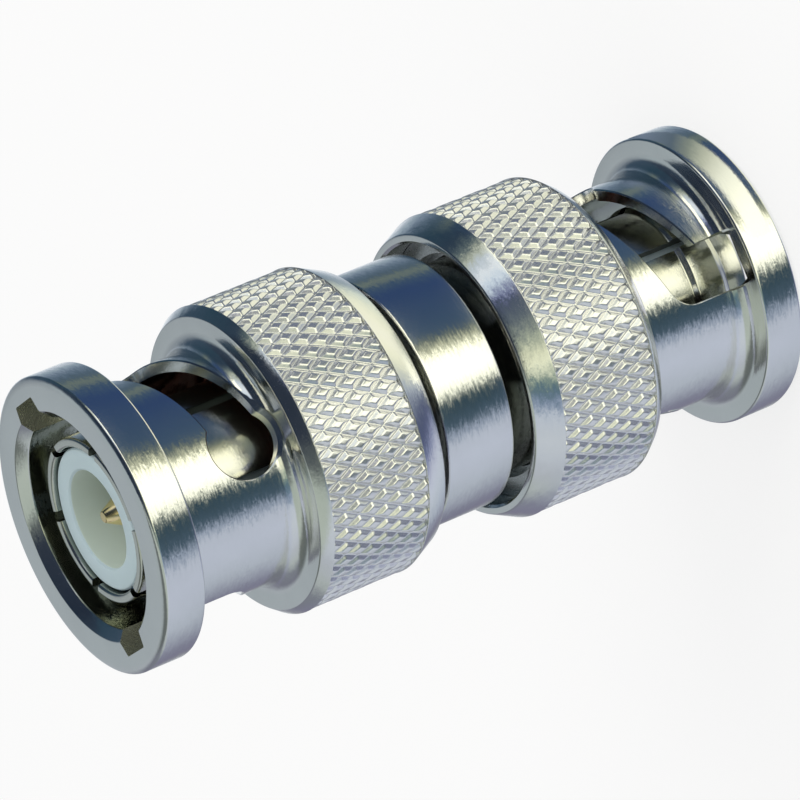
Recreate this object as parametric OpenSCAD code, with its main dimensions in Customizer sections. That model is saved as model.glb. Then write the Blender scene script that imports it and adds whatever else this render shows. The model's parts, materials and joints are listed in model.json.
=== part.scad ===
// Coaxial bayonet adapter with a plug at each end, standing on the mouth of its lower nut.
// Millimetres, +Z up, origin on the axis in the plane of the lower mouth.
// Each end is drawn once, with its mouth at z = 0 and depth along +Z, then placed at both ends.

/* [Centre barrel] */
// Length of the plain barrel between its two end faces
barrel_len = 3.5; // [3:0.1:12]
// Radius of the barrel
barrel_r = 6; // [5.6:0.05:6.6]
// Gap between each nut's rear face and the barrel
barrel_gap = 0.65; // [0.3:0.05:2]
// Chamfer on the turned edges
edge_break = 0.12; // [0.05:0.01:0.2]

/* [Coupling nut] */
// Bore that the mating shell enters
bore_r = 4.9; // [4.8:0.01:5]
// Chamfer at the mouth of the bore
lead_in = 0.45; // [0.2:0.05:0.6]
// Radius of the front ring
ring_r = 6.9; // [6.7:0.05:7.3]
// Width of the front ring
ring_w = 2.05; // [1.7:0.05:2.4]
// How far down the ring the rounding of its front edge reaches
ring_round = 0.22; // [0.1:0.01:0.4]
// How far in on the ring's front face that rounding reaches
ring_roll = 0.45; // [0.2:0.01:0.6]
// Wall of the slotted sleeve
sleeve_wall = 0.55; // [0.45:0.01:0.7]
// Length of the sleeve from ring to collar
sleeve_len = 5.89; // [5.8:0.01:8]
// Fillet where the sleeve meets the ring and the collar, as a share of the collar's height over the sleeve
web_share = 0.51; // [0.3:0.01:0.56]
// How far the collar's front face stays inside the grip
collar_drop = 0.39; // [0.25:0.01:0.6]
// Length of the collar's chamfer, from its front face to the grip
collar_len = 0.53; // [0.3:0.01:1]
// Radius over the knurled grip
grip_r = 7.25; // [7.2:0.05:7.8]
// Length of the knurled grip
grip_len = 4.97; // [4.5:0.01:8]
// Depth of the knurl
knurl_depth = 0.3; // [0.15:0.01:0.34]
// Diamonds round the grip
knurl_count = 58; // [36:1:72]
// Half diamonds along the grip
knurl_rows = 7; // [4:1:10]
// Length of the tapered rear rim
rim_len = 1.26; // [0.8:0.02:3]
// How far the end of the rear rim stays inside the grip
rim_drop = 0.6; // [0.3:0.05:0.7]
// Wall of the grip, from the diamonds' tips to the rear chamber
grip_wall = 1.02; // [0.96:0.01:1.2]

/* [Bayonet slots] */
// Width of a slot
slot_w = 2.5; // [2.1:0.05:2.6]
// Depth of a slot's centre line below the mouth where it starts
slot_entry = 4.4; // [4.2:0.05:5]
// How much deeper the slot's centre line is at its round end
slot_rise = 1.93; // [1.2:0.01:2]
// Turn from the start of a slot to its round end, in degrees
slot_turn = 87.5; // [70:0.1:95]
// How fast the slot flattens towards its round end
slot_curve = 1.4; // [1.2:0.1:2.2]
// Radius of the round hole that a mating stud drops into
detent_r = 1.63; // [1.4:0.01:1.7]
// How far that hole's centre lies back from the slot's deepest point, towards the mouth
detent_back = 0.1; // [0:0.01:0.3]
// Radius that the entry groove reaches in the front ring
groove_r = 5.95; // [5.8:0.05:6.2]
// Width of the entry groove at that radius
groove_w = 1.93; // [1.6:0.01:2.3]
// How much further out the milled channel between the groove and the slot reaches
channel_step = 0.1; // [0.05:0.01:0.2]
// How far the channel bites into the ring's rear face
channel_bite = 0.25; // [0.1:0.01:0.4]

/* [Outer contact] */
// Depth of the spring tube's tip below the mouth
contact_tip = 0.7; // [0.3:0.05:1.2]
// Radius of the spring tube
contact_r = 3.85; // [3.8:0.01:3.95]
// Radius of the raised lip near the tip
lip_r = 4.05; // [4:0.01:4.2]
// Distance from the tip to the start of the lip
lip_start = 1.35; // [1:0.05:2]
// Length of the lip
lip_len = 1.35; // [1:0.05:3]
// Length of the slope in front of the lip
lip_slope = 0.3; // [0.1:0.05:0.8]
// Wall of the spring fingers
contact_wall = 0.45; // [0.3:0.01:0.5]
// Number of slits
slit_count = 6; // [4:1:8]
// Width of a slit
slit_w = 0.48; // [0.3:0.01:0.7]
// Length of a slit
slit_len = 7.6; // [5:0.1:8]
// Length of the tube's seat in the end body
seat_len = 3; // [1.6:0.1:3.6]

/* [Insulator and pin] */
// Depth of the insulator's front face below the mouth
cup_tip = 0.88; // [0.7:0.01:1.5]
// Gap that lets the spring fingers flex inwards
finger_gap = 0.07; // [0.05:0.01:0.2]
// Inner radius of the insulator's cup
cup_r = 2.25; // [1.8:0.01:2.6]
// Depth of the cup
cup_len = 5.09; // [3:0.01:6]
// Depth of the pin's tip below the mouth
pin_tip = 1.2; // [0.9:0.05:2]
// Radius of the pin
pin_r = 0.675; // [0.6:0.005:0.8]
// Length of the pin's point
point_len = 0.8; // [0.4:0.05:1.2]
// Radius of the pin's blunt end
point_r = 0.26; // [0.15:0.01:0.45]
// Radius of the pin's shank in the floor of the cup
shank_r = 0.85; // [0.82:0.01:0.9]
// Depth below the mouth where the shank widens to the rod
rod_start = 8; // [7.6:0.1:9]
// Radius of the rod between the pins
rod_r = 1.1; // [0.95:0.05:1.4]
// Length of the bead at mid-length
bead_len = 2.4; // [1:0.1:3]

/* [End body] */
// Depth of the mouth, down to the face that carries the gasket
mouth_depth = 10.2; // [9.6:0.05:10.4]
// Thickness of the flange that the nut pulls on
flange_len = 1.2; // [0.8:0.05:1.3]
// Height of the flange over the neck that the nut turns around
flange_step = 1.15; // [1.05:0.01:1.3]
// Step from the neck down to the spigot in the barrel
spigot_step = 0.6; // [0.4:0.05:0.9]
// Gap between the ends of the two spigots in the barrel
spigot_gap = 0.1; // [0.05:0.05:1]
// Radius of the bore behind the insulator
back_bore_r = 3; // [2.2:0.05:3.2]

/* [Gasket] */
// Thickness of the gasket
gasket_t = 0.9; // [0.5:0.05:1.2]
// Inner radius of the gasket
gasket_in_r = 4.1; // [4:0.01:4.2]
// Outer radius of the gasket
gasket_out_r = 4.7; // [4.5:0.01:4.75]
// Rounding of the gasket's edges
gasket_round = 0.15; // [0.05:0.01:0.2]

/* [Washers and retaining ring] */
// Height of the wave washer as fitted
wave_h = 0.9; // [0.7:0.05:1]
// Thickness of the wave washer's strip
wave_t = 0.2; // [0.1:0.01:0.25]
// Waves round the washer
wave_count = 3; // [2:1:5]
// Thickness of the flat thrust washer
thrust_t = 0.4; // [0.2:0.05:0.5]
// Thickness of the retaining ring
snap_t = 0.7; // [0.4:0.05:0.8]
// Room between the neck and the inside of the retaining ring
snap_room = 0.35; // [0.2:0.05:0.6]
// How far the retaining ring reaches past the chamber's wall into its groove
snap_bite = 0.29; // [0.2:0.01:0.32]
// Opening of the retaining ring, in degrees
snap_gap = 40; // [20:1:60]

/* [Turn of each end] */
// Turn of the upper nut about the axis, in degrees
nut_turn_a = -5; // [-180:0.5:180]
// Turn of the lower nut about the axis, in degrees
nut_turn_b = -90; // [-180:0.5:180]
// Turn of the upper spring tube about the axis, in degrees
contact_turn_a = -17; // [-180:0.5:180]
// Turn of the lower spring tube about the axis, in degrees
contact_turn_b = -66; // [-180:0.5:180]

/* [Clearances] */
// Radial clearance of what turns or slides
run_gap = 0.08; // [0.03:0.01:0.1]
// Radial clearance of what is pressed or seated
seat_gap = 0.02; // [0.01:0.005:0.03]
// Clearance between faces that rest on each other and turn
face_gap = 0.02; // [0.01:0.005:0.04]

/* [Hidden] */

$fn = 96;
// Overrun of a cutter past the face that it cuts
over = 1;
// Steps of a small rounded edge, and of a fillet
edge_steps = 4;
fillet_steps = 7;
// Steps of the channel's round end
channel_steps = 24;

nickel = [0.78, 0.77, 0.75];
bright_steel = [0.72, 0.72, 0.74];
white_plastic = [0.93, 0.95, 0.97];
gold_plate = [0.85, 0.63, 0.28];
red_rubber = [0.5, 0.2, 0.13];

// Depths along one end, from its mouth
collar_x = ring_w + sleeve_len;
grip_x = collar_x + collar_len;
grip_end = grip_x + grip_len;
nut_len = grip_end + rim_len;
half_gap_x = nut_len + barrel_gap;
total_len = 2 * half_gap_x + barrel_len;
flange_end = mouth_depth + flange_len;
thrust_x = flange_end + wave_h;
snap_x = thrust_x + thrust_t + face_gap;
snap_groove_end = snap_x + snap_t + 2 * face_gap;
seat_end = mouth_depth + seat_len;
cup_end = cup_tip + cup_len;
slit_end = contact_tip + slit_len;
spigot_len = (barrel_len - spigot_gap) / 2;

// Radii that follow from a fit
sleeve_r = bore_r + sleeve_wall;
collar_r = grip_r - collar_drop;
web_fillet = web_share * (collar_r - sleeve_r);
rim_r = grip_r - rim_drop;
chamber_r = grip_r - grip_wall;
flange_r = chamber_r - run_gap;
neck_r = flange_r - flange_step;
spigot_r = neck_r - spigot_step;
snap_in_r = neck_r + snap_room;
snap_out_r = chamber_r + snap_bite;
snap_groove_r = snap_out_r + run_gap;
finger_in_r = contact_r - contact_wall;
insulator_r = finger_in_r - finger_gap;
knurl_root_r = grip_r - knurl_depth;
// The grip's plain core lies under the knurl by this much, and the knurled band is sunk in it
band_sink = 0.1;
core_r = knurl_root_r - band_sink;
// The diamonds' tips stay this much inside the edges of the collar and the rim
crest_drop = 0.02;

// Points of an arc of radius rad about [cr, cz], from angle a0 to a1
function arc_points(cr, cz, rad, a0, a1, steps) =
    [for (i = [0:steps]) let (a = a0 + (a1 - a0) * i / steps) [cr + rad * cos(a), cz + rad * sin(a)]];

// Places one end's piece at the lower or the upper end, turned about the axis
module at_lower(turn) {
    rotate([0, 0, turn]) children();
}
module at_upper(turn) {
    translate([0, 0, total_len]) rotate([180, 0, 0]) rotate([0, 0, turn]) children();
}

// Bayonet slot: the depth of its centre line at a share t of its turn, its slope there, and its sections.
function slot_depth(t) = slot_entry + slot_rise * (1 - pow(1 - t, slot_curve));
function slot_slope(t) =
    atan(slot_rise * slot_curve * pow(1 - t, slot_curve - 1) / (sleeve_r * slot_turn * PI / 180));
slot_steps = 16;
// Each section is [share of the turn, distance back along the slot, half width]. The first lies inside the
// channel's round end, and the last inside the round hole.
slot_half = slot_w / 2;
slot_sections = concat(
    [[0, slot_half / 4, 0.9 * slot_half]],
    [for (i = [0:slot_steps]) [i / slot_steps, 0, slot_half]],
    [[1, -detent_r / 3, slot_half]]);
// One corner of a section, at radius rad, on the deep side (side = 1) or the mouth side (side = -1)
function slot_corner(s, rad, side) =
    let (
        d = slot_turn * s[0],
        b = slot_slope(min(s[0], 0.999)),
        across = -s[1] * cos(b) - side * s[2] * sin(b),
        along = slot_depth(s[0]) - s[1] * sin(b) + side * s[2] * cos(b)
    )
    [rad * cos(d) - across * sin(d), rad * sin(d) + across * cos(d), along];

module slot_cutter() {
    in_r = bore_r - 1.5 * over;
    out_r = groove_r + 0.5 * over;
    n = len(slot_sections);
    points = [for (s = slot_sections)
        each [slot_corner(s, in_r, -1), slot_corner(s, out_r, -1),
              slot_corner(s, out_r, 1), slot_corner(s, in_r, 1)]];
    sides = [for (i = [0:n - 2], k = [0:3])
        let (a = 4 * i + k, b = 4 * i + (k + 1) % 4)
        each [[a, b, b + 4], [a, b + 4, a + 4]]];
    last = 4 * (n - 1);
    ends = [[0, 2, 1], [0, 3, 2], [last, last + 1, last + 2], [last, last + 2, last + 3]];
    polyhedron(points, concat(sides, ends), convexity = 6);
}

// Round hole at the end of a slot
module detent_cutter() {
    rotate([0, 0, slot_turn])
        translate([bore_r - over, 0, slot_depth(1) - detent_back])
            rotate([0, 90, 0])
                cylinder(r = detent_r, h = groove_r - bore_r + 2 * over);
}

// Milled channel from the ring to the start of a slot, with a round end
module channel_cutter() {
    in_r = bore_r - 1.2 * over;
    top = ring_w - channel_bite;
    translate([in_r, 0, 0])
        rotate([90, 0, 90])
            linear_extrude(groove_r + channel_step - in_r)
                polygon(concat([[-slot_half, top], [slot_half, top]],
                               arc_points(0, slot_entry, slot_half, 0, 180, channel_steps)));
}

// Flared groove through the ring, as wide as the slot at the bore
module groove_cutter() {
    flare = (slot_w - groove_w) / 2 / (groove_r - bore_r);
    in_r = bore_r - 0.5 * over;
    in_half = slot_w / 2 + flare * (bore_r - in_r);
    translate([0, 0, -over])
        linear_extrude(over + ring_w)
            polygon([[in_r, -in_half], [groove_r, -groove_w / 2],
                     [groove_r, groove_w / 2], [in_r, in_half]]);
}

// Knurled band: rings of points that alternate between root and crest, so that each diamond is a pyramid
module knurl_band() {
    n = 2 * knurl_count;
    pitch = (grip_len - 2 * crest_drop) / knurl_rows;
    crest_r = grip_r - crest_drop;
    in_r = core_r - band_sink;
    low_x = grip_x - band_sink;
    high_x = grip_end + band_sink;
    // Rings as [depth, radius of even points, radius of odd points]
    rings = concat(
        [[low_x, core_r, core_r]],
        [for (m = [0:knurl_rows]) let (even = m % 2 == 0)
            [grip_x + crest_drop + pitch * m, even ? knurl_root_r : crest_r, even ? crest_r : knurl_root_r]],
        [[high_x, core_r, core_r], [high_x, in_r, in_r], [low_x, in_r, in_r]]);
    k = len(rings);
    points = [for (g = rings, i = [0:n - 1])
        let (rad = i % 2 == 0 ? g[1] : g[2], a = 360 * i / n)
        [rad * cos(a), rad * sin(a), g[0]]];
    faces = [for (j = [0:k - 1], i = [0:n - 1])
        let (
            j2 = (j + 1) % k,
            i2 = (i + 1) % n,
            a = j * n + i,
            b = j2 * n + i,
            c = j2 * n + i2,
            d = j * n + i2,
            low_diagonal = (j + i) % 2 == 1
        )
        each (low_diagonal ? [[a, b, c], [a, c, d]] : [[a, b, d], [b, c, d]])];
    polyhedron(points, faces, convexity = 10);
}

// Coupling nut: turned profile, knurled band, two bayonet slots with their grooves
module nut_profile() {
    polygon(concat(
        [[bore_r, lead_in], [bore_r + lead_in, 0]],
        [for (i = [0:edge_steps]) let (a = 90 * i / edge_steps)
            [ring_r - ring_roll * (1 - sin(a)), ring_round * (1 - cos(a))]],
        [[ring_r, ring_w - edge_break], [ring_r - edge_break, ring_w]],
        arc_points(sleeve_r + web_fillet, ring_w + web_fillet, web_fillet, 270, 180, fillet_steps),
        arc_points(sleeve_r + web_fillet, collar_x - web_fillet, web_fillet, 180, 90, fillet_steps),
        [[collar_r, collar_x], [grip_r, grip_x], [core_r, grip_x], [core_r, grip_end], [grip_r, grip_end],
         [rim_r, nut_len], [chamber_r + edge_break, nut_len], [chamber_r, nut_len - edge_break],
         [chamber_r, snap_groove_end], [snap_groove_r, snap_groove_end],
         [snap_groove_r, snap_x - face_gap], [chamber_r, snap_x - face_gap],
         [chamber_r, mouth_depth - face_gap], [bore_r, mouth_depth - face_gap]]));
}

module coupling_nut() {
    color(nickel)
        union() {
            difference() {
                rotate_extrude() nut_profile();
                for (turn = [0, 180])
                    rotate([0, 0, turn]) {
                        slot_cutter();
                        detent_cutter();
                        channel_cutter();
                        groove_cutter();
                    }
            }
            knurl_band();
        }
}

// Spring tube with a raised lip, a rounded nose and slits that make its fingers
module contact_profile() {
    base_in_r = insulator_r + seat_gap;
    nose = contact_wall / 5;
    polygon(concat(
        [[finger_in_r, contact_tip + nose]],
        arc_points(finger_in_r + nose, contact_tip + nose, nose, 180, 270, edge_steps),
        arc_points(contact_r - nose, contact_tip + nose, nose, 270, 360, edge_steps),
        [[contact_r, contact_tip + lip_start - lip_slope], [lip_r, contact_tip + lip_start],
         [lip_r, contact_tip + lip_start + lip_len],
         [contact_r, contact_tip + lip_start + lip_len + lip_r - contact_r],
         [contact_r, seat_end], [base_in_r, seat_end],
         [base_in_r, slit_end + contact_wall], [finger_in_r, slit_end + contact_wall]]));
}

module outer_contact() {
    color(nickel)
        difference() {
            rotate_extrude() contact_profile();
            for (i = [0:slit_count - 1])
                rotate([0, 0, 360 * i / slit_count])
                    translate([insulator_r - over, -slit_w / 2, contact_tip - over])
                        cube([lip_r - insulator_r + 2 * over, slit_w, slit_len + over]);
        }
}

// White insulator: a deep cup in front, and a bored plug behind it that holds the pin
module insulator() {
    color(white_plastic)
        rotate_extrude()
            polygon([[cup_r + edge_break, cup_tip], [insulator_r - edge_break, cup_tip],
                     [insulator_r, cup_tip + edge_break], [insulator_r, seat_end],
                     [rod_r + seat_gap, seat_end], [rod_r + seat_gap, rod_start - face_gap],
                     [shank_r + seat_gap, rod_start - face_gap], [shank_r + seat_gap, cup_end],
                     [cup_r, cup_end], [cup_r, cup_tip + edge_break]]);
}

// Pin, shank and rod, all one piece, with a pin at each end
module centre_contact() {
    half = [[0, pin_tip], [point_r, pin_tip], [pin_r, pin_tip + point_len],
            [pin_r, cup_end], [shank_r, cup_end], [shank_r, rod_start], [rod_r, rod_start]];
    back = [for (i = [len(half) - 1:-1:0]) [half[i][0], total_len - half[i][1]]];
    color(gold_plate)
        rotate_extrude() polygon(concat(half, back));
}

// Bead that holds the rod on the axis in the middle
module centre_bead() {
    color(white_plastic)
        translate([0, 0, (total_len - bead_len) / 2])
            difference() {
                cylinder(r = back_bore_r - seat_gap, h = bead_len);
                translate([0, 0, -over]) cylinder(r = rod_r + seat_gap, h = bead_len + 2 * over);
            }
}

// Plain turned barrel, bored for the two spigots
module centre_barrel() {
    in_r = spigot_r + seat_gap;
    color(nickel)
        translate([0, 0, half_gap_x])
            rotate_extrude()
                polygon([[in_r, 0], [barrel_r - edge_break, 0], [barrel_r, edge_break],
                         [barrel_r, barrel_len - edge_break], [barrel_r - edge_break, barrel_len],
                         [in_r, barrel_len]]);
}

// Body of one end: flange, neck and spigot, bored for the spring tube
module end_body() {
    seat_r = contact_r + seat_gap;
    spigot_end = half_gap_x + spigot_len;
    color(nickel)
        rotate_extrude()
            polygon([[seat_r, mouth_depth], [flange_r - edge_break, mouth_depth],
                     [flange_r, mouth_depth + edge_break], [flange_r, flange_end], [neck_r, flange_end],
                     [neck_r, half_gap_x], [spigot_r, half_gap_x],
                     [spigot_r, spigot_end - edge_break], [spigot_r - edge_break, spigot_end],
                     [back_bore_r, spigot_end], [back_bore_r, seat_end], [seat_r, seat_end]]);
}

// Rubber ring at the bottom of a mouth
module gasket() {
    front = mouth_depth - gasket_t;
    color(red_rubber)
        rotate_extrude()
            polygon(concat(
                [[gasket_in_r, mouth_depth]],
                arc_points(gasket_in_r + gasket_round, front + gasket_round, gasket_round, 180, 270, edge_steps),
                arc_points(gasket_out_r - gasket_round, front + gasket_round, gasket_round, 270, 360, edge_steps),
                [[gasket_out_r, mouth_depth]]));
}

// Wave washer: a flat strip whose height follows a cosine round the neck
module wave_washer() {
    steps = 60;
    in_r = neck_r + 2 * run_gap;
    out_r = flange_r - run_gap;
    swing = (wave_h - wave_t - 2 * face_gap) / 2;
    middle = flange_end + wave_h / 2;
    points = [for (i = [0:steps - 1])
        let (a = 360 * i / steps, z = middle + swing * cos(wave_count * a), h = wave_t / 2)
        each [[in_r * cos(a), in_r * sin(a), z - h], [out_r * cos(a), out_r * sin(a), z - h],
              [out_r * cos(a), out_r * sin(a), z + h], [in_r * cos(a), in_r * sin(a), z + h]]];
    faces = [for (i = [0:steps - 1], k = [0:3])
        let (
            i2 = (i + 1) % steps,
            k2 = (k + 1) % 4,
            a = 4 * i + k,
            b = 4 * i + k2,
            c = 4 * i2 + k2,
            d = 4 * i2 + k
        )
        each [[a, b, c], [a, c, d]]];
    color(bright_steel)
        polyhedron(points, faces, convexity = 4);
}

// Flat washer between the wave washer and the retaining ring
module thrust_washer() {
    color(bright_steel)
        translate([0, 0, thrust_x])
            difference() {
                cylinder(r = chamber_r - run_gap, h = thrust_t);
                translate([0, 0, -over]) cylinder(r = neck_r + run_gap, h = thrust_t + 2 * over);
            }
}

// Open ring snapped into the groove in the nut's rear bore
module retaining_ring() {
    color(bright_steel)
        translate([0, 0, snap_x])
            difference() {
                cylinder(r = snap_out_r, h = snap_t);
                translate([0, 0, -over]) cylinder(r = snap_in_r, h = snap_t + 2 * over);
                translate([0, 0, -over])
                    linear_extrude(snap_t + 2 * over)
                        polygon([[0, 0], 2 * snap_out_r * [cos(snap_gap / 2), -sin(snap_gap / 2)],
                                 2 * snap_out_r * [cos(snap_gap / 2), sin(snap_gap / 2)]]);
            }
}

module coupling_nut_a() at_upper(nut_turn_a) coupling_nut();
module coupling_nut_b() at_lower(nut_turn_b) coupling_nut();
module outer_contact_a() at_upper(contact_turn_a) outer_contact();
module outer_contact_b() at_lower(contact_turn_b) outer_contact();
module insulator_a() at_upper(0) insulator();
module insulator_b() at_lower(0) insulator();
module gasket_a() at_upper(0) gasket();
module gasket_b() at_lower(0) gasket();
module end_body_a() at_upper(0) end_body();
module end_body_b() at_lower(0) end_body();
module wave_washer_a() at_upper(0) wave_washer();
module wave_washer_b() at_lower(0) wave_washer();
module thrust_washer_a() at_upper(0) thrust_washer();
module thrust_washer_b() at_lower(0) thrust_washer();
module retaining_ring_a() at_upper(nut_turn_a) retaining_ring();
module retaining_ring_b() at_lower(nut_turn_b) retaining_ring();

centre_barrel();
coupling_nut_a();
coupling_nut_b();
outer_contact_a();
outer_contact_b();
insulator_a();
insulator_b();
centre_contact();
centre_bead();
gasket_a();
gasket_b();
end_body_a();
end_body_b();
wave_washer_a();
wave_washer_b();
thrust_washer_a();
thrust_washer_b();
retaining_ring_a();
retaining_ring_b();
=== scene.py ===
import json
import math
import bpy
import numpy as np
import bmesh
from mathutils import Matrix, Vector


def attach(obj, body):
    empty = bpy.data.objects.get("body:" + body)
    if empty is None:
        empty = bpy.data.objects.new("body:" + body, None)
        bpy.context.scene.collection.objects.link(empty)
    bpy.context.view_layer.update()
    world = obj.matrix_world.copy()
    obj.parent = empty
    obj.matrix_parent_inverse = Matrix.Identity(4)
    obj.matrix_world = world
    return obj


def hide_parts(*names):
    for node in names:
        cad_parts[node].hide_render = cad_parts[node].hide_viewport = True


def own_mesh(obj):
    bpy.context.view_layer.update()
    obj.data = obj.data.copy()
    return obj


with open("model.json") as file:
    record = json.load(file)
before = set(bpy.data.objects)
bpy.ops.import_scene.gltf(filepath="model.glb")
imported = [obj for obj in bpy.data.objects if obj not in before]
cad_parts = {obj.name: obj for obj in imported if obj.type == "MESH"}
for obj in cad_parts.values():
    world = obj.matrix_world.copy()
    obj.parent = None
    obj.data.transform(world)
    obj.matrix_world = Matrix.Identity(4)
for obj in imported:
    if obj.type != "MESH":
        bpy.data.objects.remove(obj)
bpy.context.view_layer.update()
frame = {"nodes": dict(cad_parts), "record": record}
mm = 0.001
totalLength = frame["record"]["size"]["bbox_m"][2] / mm  # mouth to mouth
print("frame loaded, mouth to mouth", round(totalLength, 2), "mm")

# Sizes are in mm unless a note says otherwise. Both ends are the same: depth runs from each mouth inwards
endTurn = {"nutA": -5.0, "nutB": -90.0, "contactA": -17.0, "contactB": -66.0}  # degrees about the axis


# Places and meshes

def turnedAbout(points, turn):
    # x, y and depth of the points once they are turned about the axis, by degrees
    a = math.radians(turn)
    x = points[..., 0] * math.cos(a) - points[..., 1] * math.sin(a)
    y = points[..., 0] * math.sin(a) + points[..., 1] * math.cos(a)
    return x, y, points[..., 2]


def toUpperEnd(points, turn):
    # Turn about the axis, then half a turn about X, then lift to the upper mouth
    x, y, depth = turnedAbout(points, turn)
    return np.stack([x, -y, totalLength - depth], -1)


def toLowerEnd(points, turn):
    # Turn about the axis only: the lower mouth is the origin
    return np.stack(turnedAbout(points, turn), -1)


def meshObject(name, points, faces):
    # Points in mm become vertices in metres
    mesh = bpy.data.meshes.new(name)
    mesh.from_pydata((points.reshape(-1, 3) * mm).tolist(), [], [list(f) for f in faces])
    mesh.validate()
    obj = bpy.data.objects.new(name, mesh)
    bpy.context.collection.objects.link(obj)
    return obj


def outwardNormals(obj):
    # The faces of a closed mesh are turned to point outwards
    work = bmesh.new()
    work.from_mesh(obj.data)
    bmesh.ops.recalc_face_normals(work, faces=work.faces)
    work.to_mesh(obj.data)
    work.free()


def ringFaces(rows, columns):
    # Quads of a grid that closes both along and round, as on a torus
    row, column = np.meshgrid(np.arange(rows), np.arange(columns), indexing="ij")
    here, onward = row * columns, (row + 1) % rows * columns
    beside = (column + 1) % columns
    return np.stack([here + column, here + beside, onward + beside, onward + column], -1).reshape(-1, 4)


def stackFaces(rows, columns):
    # The same grid left open along, with a flat face over each end
    ends = [list(range(columns))[::-1], list(range((rows - 1) * columns, rows * columns))]
    return ringFaces(rows, columns)[:-columns].tolist() + ends


def revolved(profile, steps):
    # Each profile point [radius, depth] goes round the axis in equal steps: [r cos, r sin, depth]
    a = np.linspace(0, 2 * math.pi, steps, endpoint=False)
    r, z = profile[:, 0][:, None], profile[:, 1][:, None]
    return np.stack([r * np.cos(a), r * np.sin(a), z + 0 * a], -1)


def arc(centreRadius, centreDepth, size, start, end, steps):
    # Profile points of an arc about a centre, from one angle to another in degrees
    a = np.radians(np.linspace(start, end, steps + 1))
    return np.stack([centreRadius + size * np.cos(a), centreDepth + size * np.sin(a)], -1)


bend = {"points": 4, "mostOfSide": 0.42}  # to a corner, and how much of a short side its curve may take


def softCorners(points, size):
    # Every corner of a closed outline gives way to a quadratic curve, whose ends lie at most size from it
    p = np.asarray(points, float)
    before, after = np.roll(p, 1, 0) - p, np.roll(p, -1, 0) - p
    lengthBefore, lengthAfter = np.linalg.norm(before, axis=1), np.linalg.norm(after, axis=1)
    cut = np.minimum(size, bend["mostOfSide"] * np.minimum(lengthBefore, lengthAfter))[:, None]
    start = p + before / lengthBefore[:, None] * cut
    end = p + after / lengthAfter[:, None] * cut
    t = np.linspace(0, 1, bend["points"])[None, :, None]
    curve = start[:, None] * (1 - t) ** 2 + p[:, None] * 2 * t * (1 - t) + end[:, None] * t ** 2
    return curve.reshape(-1, 2)


def softBends(points, size):
    # The corners within an open line, softened the same way. Its two end points are left out
    return softCorners(points, size)[bend["points"]:-bend["points"]]


def turned(name, profile, place, turn, steps, soft):
    # A closed profile [radius, depth] with soft corners, revolved about the axis
    rows = softCorners(profile, soft)
    obj = meshObject(name, place(revolved(rows, steps), turn), ringFaces(len(rows), steps))
    outwardNormals(obj)
    return obj


shading = {"crease": 32, "weight": 60}  # faces that meet at more degrees than this keep a sharp edge


def finishShading(obj):
    # Smooth but for sharp edges, with each normal weighted by the size of the faces that meet there
    obj.data.shade_smooth()
    obj.data.set_sharp_from_angle(angle=math.radians(shading["crease"]))
    weighted = obj.modifiers.new("evenNormals", "WEIGHTED_NORMAL")
    weighted.keep_sharp = True
    weighted.weight = shading["weight"]


def cutWith(obj, cutters):
    # Takes each cutter out of obj, keeps the result as plain mesh, and deletes the cutters
    for cutter in cutters:
        cut = obj.modifiers.new("cut", "BOOLEAN")
        cut.operation = "DIFFERENCE"
        cut.solver = "EXACT"
        cut.object = cutter
    graph = bpy.context.evaluated_depsgraph_get()
    graph.update()
    done = bpy.data.meshes.new_from_object(obj.evaluated_get(graph))
    old = obj.data
    obj.modifiers.clear()
    obj.data = done
    done.name = obj.name
    bpy.data.meshes.remove(old)
    for cutter in cutters:
        shape = cutter.data
        bpy.data.objects.remove(cutter)
        bpy.data.meshes.remove(shape)


# Shader nodes

def link(tree, output, socket):
    # A wire from one node to another
    tree.links.new(output, socket)


def feed(tree, value, socket):
    # A socket takes a link where the value is another node's output, and else the value itself
    if isinstance(value, bpy.types.NodeSocket):
        link(tree, value, socket)
    else:
        socket.default_value = value


def mathNode(tree, kind, a, b=None):
    # One or two numbers, or number sockets, worked out as kind says
    node = tree.nodes.new("ShaderNodeMath")
    node.operation = kind
    feed(tree, a, node.inputs[0])
    if b is not None:
        feed(tree, b, node.inputs[1])
    return node.outputs[0]


def vectorNode(tree, kind, a, b=None):
    # One vector or two. SCALE takes a number as its second value, and DOT_PRODUCT gives a number
    node = tree.nodes.new("ShaderNodeVectorMath")
    node.operation = kind
    feed(tree, a, node.inputs[0])
    if b is not None:
        feed(tree, b, node.inputs["Scale"] if kind == "SCALE" else node.inputs[1])
    return node.outputs["Value" if kind == "DOT_PRODUCT" else "Vector"]


def splitNode(tree, vector):
    # x, y and z of a vector
    node = tree.nodes.new("ShaderNodeSeparateXYZ")
    link(tree, vector, node.inputs[0])
    return node.outputs


def rampNode(tree, value, stops):
    # Colours at places from 0 to 1, mixed evenly between
    node = tree.nodes.new("ShaderNodeValToRGB")
    elements = node.color_ramp.elements
    while len(elements) > 1:
        elements.remove(elements[0])
    elements[0].position = stops[0][0]
    elements[0].color = (*stops[0][1], 1)
    for position, colour in stops[1:]:
        element = elements.new(position)
        element.color = (*colour, 1)
    link(tree, value, node.inputs[0])
    return node.outputs[0]


def smoothRange(tree, value, zeroAt, oneAt):
    # Goes smoothly from 0 to 1 between two values, of which either may be the greater
    node = tree.nodes.new("ShaderNodeMapRange")
    node.interpolation_type = "SMOOTHSTEP"
    node.inputs["From Min"].default_value = min(zeroAt, oneAt)
    node.inputs["From Max"].default_value = max(zeroAt, oneAt)
    node.inputs["To Min"].default_value = 0.0 if zeroAt < oneAt else 1.0
    node.inputs["To Max"].default_value = 1.0 if zeroAt < oneAt else 0.0
    link(tree, value, node.inputs["Value"])
    return node.outputs[0]


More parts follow.
